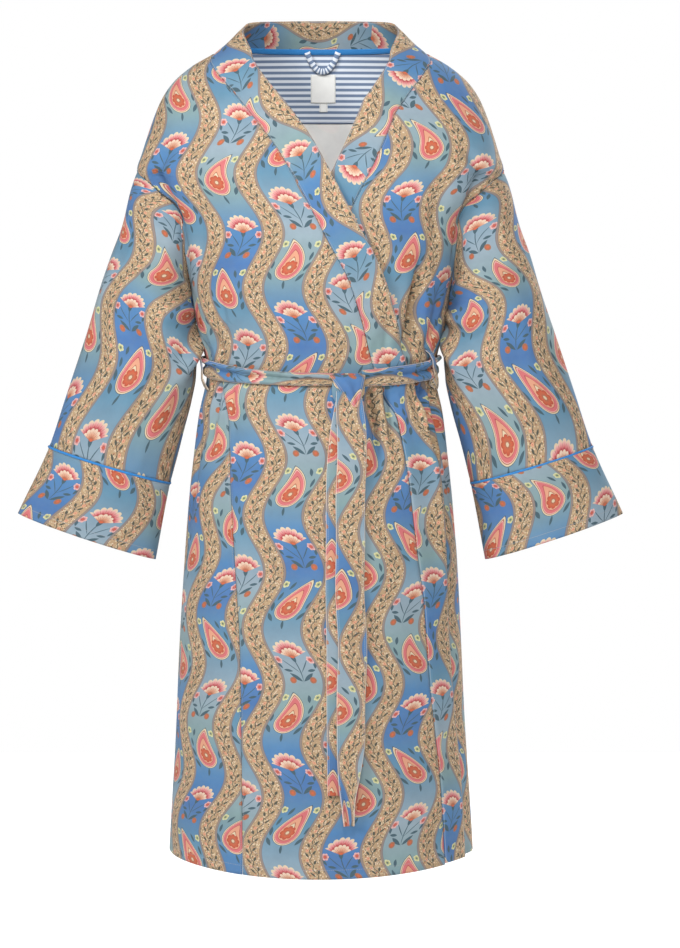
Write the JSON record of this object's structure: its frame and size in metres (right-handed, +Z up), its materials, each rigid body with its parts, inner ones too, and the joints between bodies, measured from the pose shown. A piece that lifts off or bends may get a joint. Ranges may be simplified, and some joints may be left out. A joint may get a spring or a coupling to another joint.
{
  "type": "kimono robe",
  "caption": "Knee-length wrap-over kimono robe in light printed cloth, with wide sleeves, deep cuffs, a folded front band and a tied belt, filled out as worn",
  "frame": {"origin": "on the shoulder ridge, midway between the two side neck points, where the wearer's shoulders carry the robe", "axes": "+Z up, -Y the front with the overlap and the knot, +X the wearer's left, which is the picture's right"},
  "size_m": [0.814, 0.3139, 1.13],
  "materials": {
    "printed_cotton": "light plain-woven cotton with an all-over floral trellis print in blues, tan and pink, matte",
    "blue_piping": "bright blue cord and tape, matte",
    "striped_cotton": "slate blue and pale stripes, matte",
    "label_satin": "bare white satin label, slight sheen"
  },
  "bodies": {
    "root": {"back": "printed_cotton", "front_right": "printed_cotton", "front_left": "printed_cotton", "sleeve_right": "printed_cotton", "sleeve_left": "printed_cotton", "cuff_right": "printed_cotton", "cuff_left": "printed_cotton", "neckband_right": "printed_cotton", "neckband_left": "printed_cotton", "neckband_back": "printed_cotton", "belt_waist": "printed_cotton", "belt_knot": "printed_cotton", "belt_tail_front": "printed_cotton", "belt_tail_back": "printed_cotton", "belt_loop_right": "printed_cotton", "belt_loop_left": "printed_cotton", "cuff_piping_right": "blue_piping", "cuff_piping_left": "blue_piping", "neck_tape": "blue_piping", "neck_facing": "striped_cotton", "hang_loop": "striped_cotton", "label": "label_satin", "size_tab": "label_satin"}
  },
  "joints": []
}
